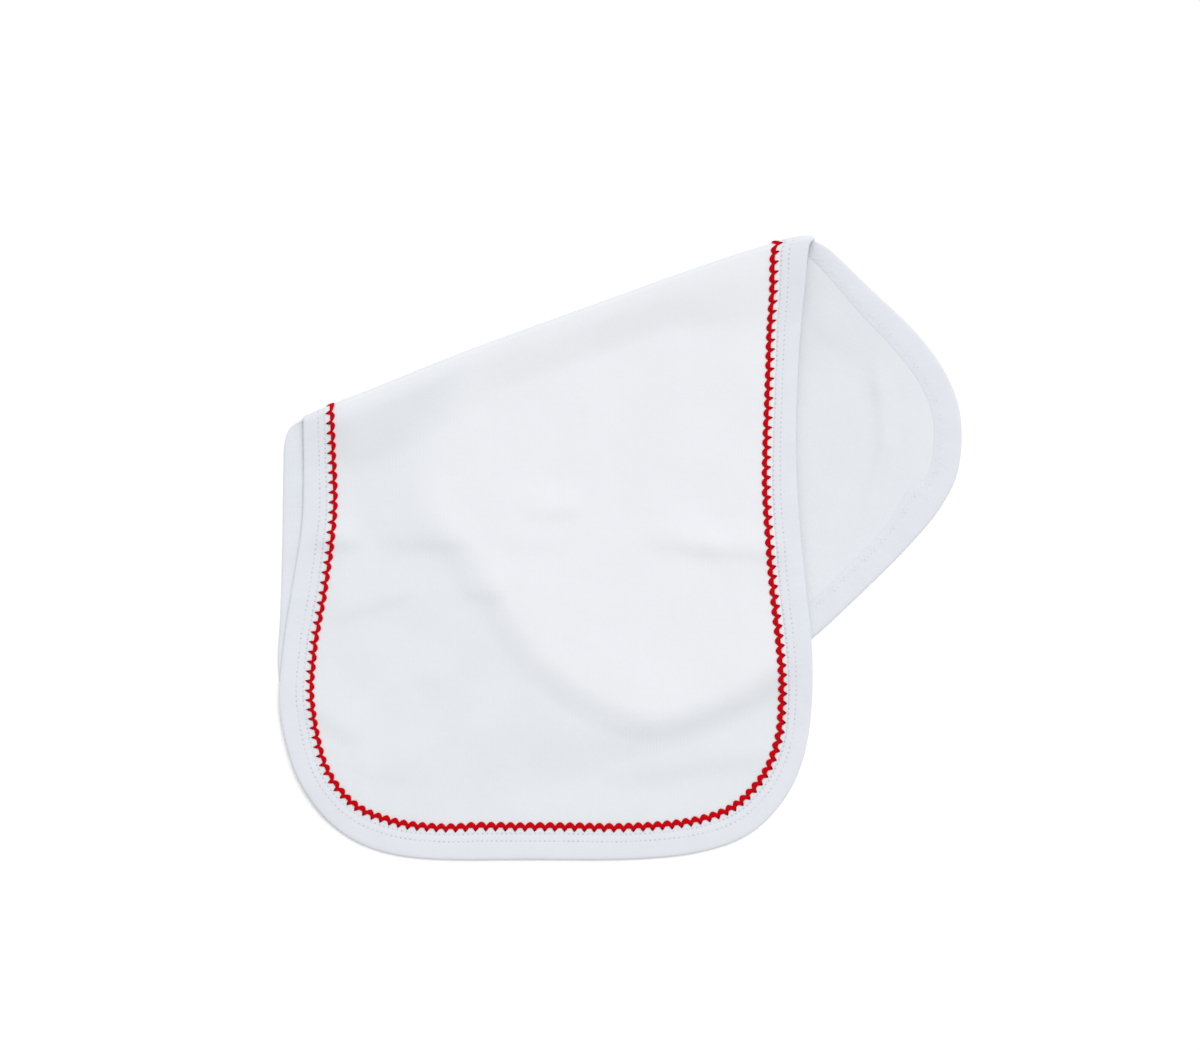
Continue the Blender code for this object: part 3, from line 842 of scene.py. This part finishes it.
def trim_material(sizes, colours):
    """Red thread: slanting strands over the band, with painted highlights and shade on the strands
    and painted shade at the picot points.
    """
    material, shader, start = new_material("red_picot_thread", colours.trim, 0.85, 0.0, 0.02)
    flat, along, inset = flat_millimetres(start)
    strand = ((along * 1.35 + inset * 0.75) * (2 * math.pi)).sum("SINE")
    twist = ((along * 0.5 - inset * 1.3) * (2 * math.pi)).sum("SINE")
    ends = 1.0 - inset.soft_step(sizes.picot_tip / MM + 0.2, sizes.picot_tip / MM + 1.9)
    # Painted highlights on the tops of the strands and painted shade in the grooves between them
    shade = strand.soft_step(-1.0, 1.0) * 0.6 + twist.soft_step(-1.0, 1.0) * 0.4
    tone = shade.mix(shaded(colours.trim, 0.58), shaded(colours.trim, 1.5))
    # Painted shade, darker towards the picot points
    tip_shaded = ends.mix(tone, shaded(colours.trim_tip_shade, 1.0))
    tip_shaded.into(shader, "Base Color")
    (shade * -0.1 + 0.85).into(shader, "Roughness")
    height = strand * 0.07 + twist * 0.04
    bump = start.node("ShaderNodeBump", values={"Strength": 1.0, "Distance": MM, "Height": height})
    bump.into(shader, "Normal")
    return material


def thread_material(name, colours):
    """White sewing thread: two plies twisted round each other, with a painted highlight on each ply
    and painted shade between them.
    """
    material, shader, start = new_material(name, colours.thread, 0.7, 0.05, 0.25)
    flat, along, turn = flat_millimetres(start)
    ply = ((along * 1.6 + turn) * (2 * math.pi)).sum("SINE")
    # Painted highlight on each ply and painted shade between the plies
    tone = ply.soft_step(-1.0, 1.0).mix(shaded(colours.thread, 0.9), shaded(colours.thread, 1.06))
    tone.into(shader, "Base Color")
    bump = start.node("ShaderNodeBump", values={"Strength": 1.0, "Distance": MM, "Height": ply * 0.03})
    bump.into(shader, "Normal")
    return material


def floor_material(colour):
    """Plain matt pale floor with the faintest grain."""
    material, shader, start = new_material("pale_floor", colour, 0.9, 0.0, 0.0)
    place = start.node("ShaderNodeTexCoord", output="Object")
    grain = place.noise(900.0, 1.0)
    grain.mix(shaded(colour, 0.998), shaded(colour, 1.0)).into(shader, "Base Color")
    return material


def even_pitch(pitch):
    """The pitch nearest the one asked for that goes round the edge a whole number of times."""
    total = cloth_layout()["length"][-1]
    count = round(total / pitch)
    return total / count, count


def pucker(length):
    """Slow swell of the binding along the edge, from -1 to 1: three sines of unlike lengths."""
    turn = 2 * math.pi * length / cloth_layout()["length"][-1]
    return (np.sin(83 * turn + 1.9 * np.sin(7 * turn)) + 0.7 * np.sin(131 * turn + 1.1)
            + 0.6 * np.sin(37 * turn + 0.4)) / 2.3


class AddBinding(bpy.types.Operator):
    """Adds the knit binding folded round the whole cut edge."""

    bl_idname = "burp_cloth.add_binding"
    bl_label = "Add binding"

    def execute(self, context):
        sizes, colours = context.scene.cloth_sizes, context.scene.cloth_colours
        pitch, _ = even_pitch(sizes.stitch_pitch)
        outside = np.vstack([BINDING_RIGHT, BINDING_WRONG * (1, -1)]) * MM
        inside = np.vstack([BINDING_FACE[:0:-1] * (1, -1), BINDING_FACE]) * MM
        section = np.vstack([outside, inside])
        side = np.concatenate([np.sign(outside[:, 1]), np.sign(inside[:, 1])])
        inset, off = section.T
        total = cloth_layout()["length"][-1]
        length = np.arange(1300) * total / 1300
        swell = pucker(length)[:, None] * smooth(11.5 * MM, 6 * MM, inset) * 0.05 * MM
        height = off + side * np.where(np.abs(off) > 0.8 * MM, swell - 0.03 * MM, 0)
        points = on_band(length[:, None] + 0 * inset, inset + 0 * length[:, None], height)
        flat = np.stack([length[:, None] + 0 * inset, side * inset + 0 * length[:, None]], -1)
        faces = grid_faces(len(length), len(inset), True, True)[:, ::-1]
        material = binding_material(sizes, colours, pitch)
        piece = new_piece("edge_binding", points.reshape(-1, 3), faces.tolist(),
                          flat.reshape(-1, 2), material, total)
        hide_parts("binding")
        return {"FINISHED"}


class AddTrim(bpy.types.Operator):
    """Adds the red picot trim along the inner edge of the binding."""

    bl_idname = "burp_cloth.add_trim"
    bl_label = "Add picot trim"

    def execute(self, context):
        sizes, colours = context.scene.cloth_sizes, context.scene.cloth_colours
        pitch, count = even_pitch(sizes.picot_pitch)
        steps = 14
        length = np.arange(count * steps) * pitch / steps
        phase = (length / pitch) % 1.0
        wave = np.sin(math.pi * phase)
        from_tip = np.minimum(phase, 1 - phase)
        lean, dip, body, base = (np.interp(length / MM, TRIM_SHAPE[:, 0], column)
                                 for column in TRIM_SHAPE[:, 1:].T)
        crown = sizes.trim_top - dip * MM * (1 - wave**0.9)
        arch = sizes.trim_top - body * MM
        spike = np.clip(1 - from_tip / (base / 2), 0, 1) ** 0.8
        foot = arch - (arch - sizes.picot_tip) * spike
        turn = np.arange(10) * 2 * math.pi / 10
        middle = (crown + foot)[:, None] / 2
        half = (crown - foot)[:, None] / 2
        inset = middle + half * np.cos(turn)
        thick = (0.28 + 0.2 * wave)[:, None] * MM
        off = HALF_PANEL + 0.04 * MM + thick * (1 + np.sin(turn))
        leaning = lean[:, None] * np.clip(1 - (inset - sizes.picot_tip) / (2 * MM), 0, 1)
        points = on_band(length[:, None] + leaning * MM, inset, off)
        flat = np.stack([length[:, None] + 0 * inset, inset], -1)
        faces = grid_faces(len(length), len(turn), True, True)[:, ::-1]
        total = cloth_layout()["length"][-1]
        piece = new_piece("red_picot_trim", points.reshape(-1, 3), faces.tolist(),
                          flat.reshape(-1, 2), trim_material(sizes, colours), total)
        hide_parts("picot_trim")
        return {"FINISHED"}


class AddNeedleRows(bpy.types.Operator):
    """Adds the two rows of needle stitches on the right side of the binding."""

    bl_idname = "burp_cloth.add_needle_rows"
    bl_label = "Add needle rows"

    def execute(self, context):
        sizes, colours = context.scene.cloth_sizes, context.scene.cloth_colours
        pitch, count = even_pitch(sizes.stitch_pitch)
        radius = sizes.thread_thick / 2
        t = np.linspace(-1, 1, 7)
        turn = np.arange(6) * 2 * math.pi / 6
        bulge = np.sqrt(np.clip(1 - t**4, 0, 1))
        bulge[[0, -1]] = 0.25
        row, stitch, place, angle = np.meshgrid(
            np.arange(len(NEEDLE_ROWS)), np.arange(count), np.arange(len(t)),
            np.arange(len(turn)), indexing="ij")
        along = (stitch + 0.5 + 0.42 * t[place]) * pitch
        lean = 0.05 * MM * np.sin(stitch * 2.4 + row) * t[place]
        inset = np.array(NEEDLE_ROWS)[row] + lean + radius * bulge[place] * np.cos(turn[angle])
        low = (0.05 + 0.2 * t[place] ** 2) * MM
        off = np.array(ROW_TOPS)[row] - low + radius * bulge[place] * np.sin(turn[angle])
        points = on_band(along, inset, off)
        flat = np.stack([along, angle / len(turn) * MM], -1)
        block = len(t) * len(turn)
        tube = grid_faces(len(t), len(turn), False, True)
        starts = (np.arange(len(NEEDLE_ROWS) * count) * block)[:, None, None]
        quads = (tube[None] + starts).reshape(-1, 4)[:, ::-1]
        caps = np.stack([np.arange(len(turn)), block - 1 - np.arange(len(turn))])
        ends = (caps[None] + starts).reshape(-1, len(turn))
        material = thread_material("white_needle_thread", colours)
        piece = new_piece("needle_rows", points.reshape(-1, 3), quads.tolist() + ends.tolist(),
                          flat.reshape(-1, 2), material)
        return {"FINISHED"}


class AddLooperChain(bpy.types.Operator):
    """Adds the looper's zigzag chain on the wrong side of the binding."""

    bl_idname = "burp_cloth.add_looper_chain"
    bl_label = "Add looper chain"

    def execute(self, context):
        sizes, colours = context.scene.cloth_sizes, context.scene.cloth_colours
        pitch, count = even_pitch(sizes.stitch_pitch)
        radius = sizes.thread_thick / 2.6
        steps = 10
        at = np.arange(count * steps) / steps
        swing = np.arcsin(0.96 * np.sin(2 * math.pi * at)) / (math.pi / 2)
        reach = 2.0 + 0.25 * np.sin(2 * math.pi * at * 17 / count + np.sin(at * 0.7))
        inset = 10.6 * MM + reach * MM * swing
        length = at * pitch + 0.35 * pitch * np.sin(4 * math.pi * at)
        depth = 0.05 * np.sin(at * 1.9 + 2 * np.sin(at * 0.23)) + 0.1 * np.abs(swing) ** 3
        level = np.interp(inset, BINDING_WRONG[:, 0] * MM, BINDING_WRONG[:, 1] * MM)
        off = -(level - radius * 0.7 - depth * MM)
        path = on_band(length, inset, off)
        up = on_band(length, inset, off - MM) - path
        up /= np.linalg.norm(up, axis=1)[:, None]
        way = np.roll(path, -1, axis=0) - np.roll(path, 1, axis=0)
        side = np.cross(way, up)
        side /= np.linalg.norm(side, axis=1)[:, None]
        turn = np.arange(6) * 2 * math.pi / 6
        points = (path[:, None] + radius * np.cos(turn)[:, None] * side[:, None]
                  + radius * np.sin(turn)[:, None] * up[:, None])
        travelled = np.concatenate([[0], np.cumsum(np.linalg.norm(np.diff(path, axis=0), axis=1))])
        flat = np.stack([travelled[:, None] + 0 * turn, 0 * travelled[:, None] + turn / 6.3 * MM], -1)
        faces = grid_faces(len(path), len(turn), True, True)
        material = thread_material("white_looper_thread", colours)
        piece = new_piece("looper_chain", points.reshape(-1, 3), faces.tolist(),
                          flat.reshape(-1, 2), material, travelled[-1])
        return {"FINISHED"}


class AddPanel(bpy.types.Operator):
    """Adds the folded knit panel."""

    bl_idname = "burp_cloth.add_panel"
    bl_label = "Add panel"

    def execute(self, context):
        sizes, colours = context.scene.cloth_sizes, context.scene.cloth_colours
        layout = cloth_layout()
        first = int(np.argmin(np.abs(BAND_INSETS - PANEL_INSET)))
        rings = layout["points"][first:]
        rows, count = rings.shape[:2]
        points = np.vstack([rings.reshape(-1, 3), layout["middle"]])
        flat = np.vstack([layout["flat"][first:].reshape(-1, 2), layout["middle_flat"]])
        faces = grid_faces(rows, count, False, True)[:, ::-1].tolist()
        around = np.arange(count)
        last = (rows - 1) * count
        to = rows * count + layout["to_middle"]
        ahead = (around + 1) % count
        fan = np.stack([last + around, last + ahead, to[ahead], to[around]], -1)
        one = to[ahead] == to[around]
        faces += fan[~one].tolist() + fan[one][:, :3].tolist()
        material = panel_material(sizes, colours)
        piece = new_piece("knit_panel", points, faces, flat, material)
        # Tone of the layers behind each point, with painted shade from the fold and round its nose
        backing_and_shade = np.concatenate([layout["backing_and_shade"][first:].ravel(), layout["middle_backing_and_shade"]])
        layer = piece.data.attributes.new("backing_and_shade", "FLOAT", "POINT")
        layer.data.foreach_set("value", backing_and_shade.astype(np.float32))
        give_thickness(piece, PANEL_THICK)
        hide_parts("cloth")
        return {"FINISHED"}


class SetStage(bpy.types.Operator):
    """Adds the pale floor, the soft light and the camera straight above."""

    bl_idname = "burp_cloth.set_stage"
    bl_label = "Set stage"

    def execute(self, context):
        scene = context.scene
        settings = scene.cloth_stage
        side = np.linspace(-1.5, 1.5, 13)
        x, y = np.meshgrid(side, side)
        points = np.stack([x, y, np.full_like(x, -0.05 * MM)], -1).reshape(-1, 3)
        faces = grid_faces(len(side), len(side), False, False)[:, ::-1].tolist()
        mesh = bpy.data.meshes.new("floor")
        mesh.from_pydata(points.tolist(), [], faces)
        mesh.materials.append(floor_material(settings.floor))
        floor = bpy.data.objects.new("floor", mesh)
        scene.collection.objects.link(floor)
        world = bpy.data.worlds.new("even_sky")
        world.use_nodes = True
        world.node_tree.nodes["Background"].inputs["Color"].default_value = (1, 1, 1, 1)
        world.node_tree.nodes["Background"].inputs["Strength"].default_value = settings.sky
        scene.world = world
        lamp = bpy.data.lights.new("soft_lamp", "SUN")
        lamp.energy = settings.lamp
        lamp.angle = math.radians(40)
        holder = bpy.data.objects.new("soft_lamp", lamp)
        holder.location = (0, 1, 1)
        holder.rotation_euler = (settings.lamp_height - math.radians(90), 0, -settings.lamp_turn)
        scene.collection.objects.link(holder)
        lens = bpy.data.cameras.new("camera")
        lens.sensor_width = 36.0
        lens.lens = settings.lens
        lens.clip_start = 0.01
        camera = bpy.data.objects.new("camera", lens)
        high = settings.view_wide * settings.lens / lens.sensor_width
        camera.location = (-8.88 * MM, 11.04 * MM, high + 2 * MM)
        scene.collection.objects.link(camera)
        scene.camera = camera
        scene.view_settings.view_transform = "Standard"
        return {"FINISHED"}


class ClothPanel(bpy.types.Panel):
    """Lists the steps and the settings in the 3D view's sidebar."""

    bl_idname = "VIEW3D_PT_burp_cloth"
    bl_label = "Burp cloth"
    bl_space_type = "VIEW_3D"
    bl_region_type = "UI"
    bl_category = "Burp cloth"

    def draw(self, context):
        for step in STEPS:
            self.layout.operator(step.bl_idname)
        for group in (context.scene.cloth_sizes, context.scene.cloth_colours,
                      context.scene.cloth_stage):
            box = self.layout.box()
            for name in group.bl_rna.properties.keys():
                if name not in ("rna_type", "name"):
                    box.prop(group, name)


GROUPS = (ClothSizes, ClothColours, StageSettings)
STEPS = (SetStage, AddBinding, AddTrim, AddNeedleRows, AddLooperChain, AddPanel)


def register():
    for part in (*GROUPS, *STEPS, ClothPanel):
        bpy.utils.register_class(part)
    bpy.types.Scene.cloth_sizes = PointerProperty(type=ClothSizes)
    bpy.types.Scene.cloth_colours = PointerProperty(type=ClothColours)
    bpy.types.Scene.cloth_stage = PointerProperty(type=StageSettings)


def unregister():
    del bpy.types.Scene.cloth_stage
    del bpy.types.Scene.cloth_colours
    del bpy.types.Scene.cloth_sizes
    for part in reversed((*GROUPS, *STEPS, ClothPanel)):
        bpy.utils.unregister_class(part)


def main():
    register()
    bpy.ops.burp_cloth.set_stage()
    bpy.ops.burp_cloth.add_binding()
    bpy.ops.burp_cloth.add_trim()
    bpy.ops.burp_cloth.add_needle_rows()
    bpy.ops.burp_cloth.add_looper_chain()
    bpy.ops.burp_cloth.add_panel()


if __name__ == "__main__":
    main()
